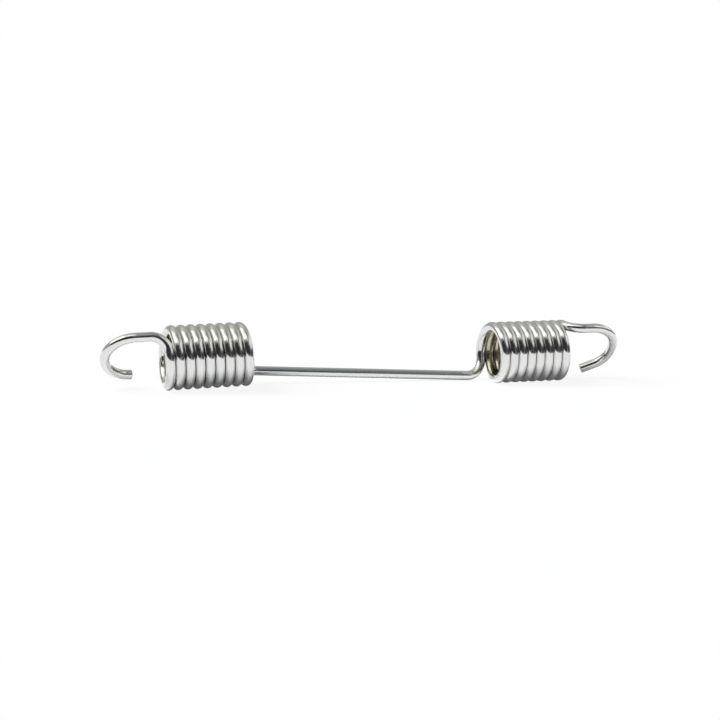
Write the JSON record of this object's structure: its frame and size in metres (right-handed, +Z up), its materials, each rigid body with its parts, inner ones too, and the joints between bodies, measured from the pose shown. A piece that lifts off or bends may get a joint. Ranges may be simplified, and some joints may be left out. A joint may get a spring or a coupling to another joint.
{
  "type": "brake pad spring",
  "caption": "Bright plated wire spring with close-wound coils, a straight link between them and a bent hook at each end.",
  "frame": {"origin": "on the surface that the spring lies on, under the middle of its outline", "axes": "+X runs along the spring, from the hook that is nearly one round loop to the hook with the straight tip; +Y is the side that the link runs along; +Z is up"},
  "size_m": [0.1288, 0.0148, 0.0155],
  "materials": {
    "bright_plate": "bright plated spring steel wire, polished, with faint drawing lines along the wire"
  },
  "bodies": {
    "root": {"spring_wire": "bright_plate"}
  },
  "joints": []
}
